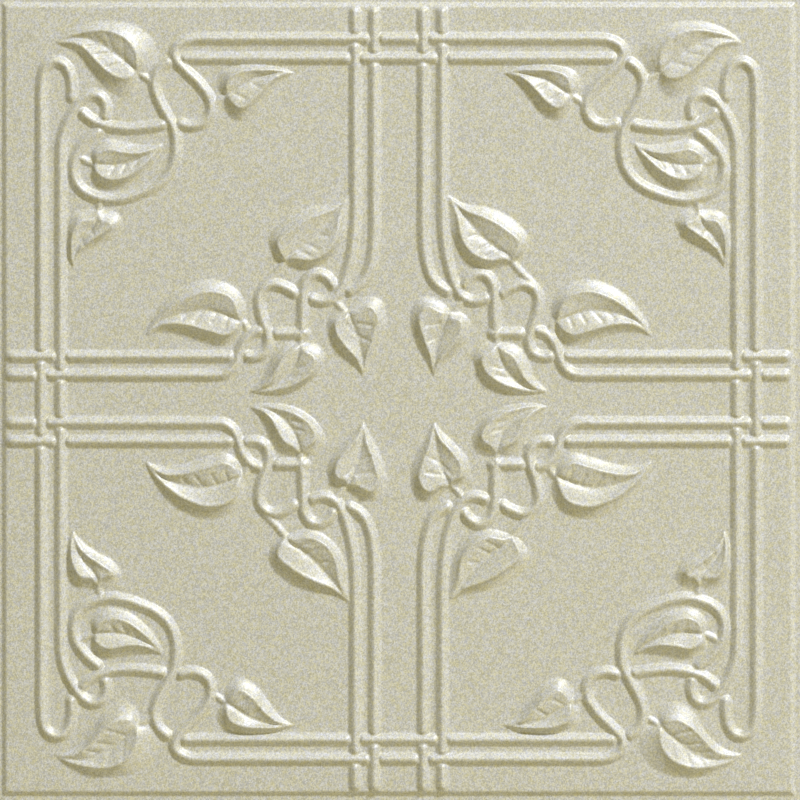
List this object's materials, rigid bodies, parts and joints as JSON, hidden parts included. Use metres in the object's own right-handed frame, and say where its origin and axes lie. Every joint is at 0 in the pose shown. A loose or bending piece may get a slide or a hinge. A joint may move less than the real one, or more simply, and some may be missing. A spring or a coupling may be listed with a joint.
{
  "type": "ceiling tile",
  "caption": "Square polystyrene foam ceiling tile with an embossed, interlaced vine and leaf relief, a thin edge flange and a flat glue face.",
  "frame": {"origin": "middle of the flat back face", "axes": "+Z out of the relief face, away from the ceiling; X and Y along the tile's sides"},
  "size_m": [0.5, 0.5, 0.0092],
  "materials": {
    "tile": "pearl beige paint on pressed polystyrene foam, faintly flecked, satin"
  },
  "bodies": {
    "root": {"tile": "tile"}
  },
  "joints": []
}
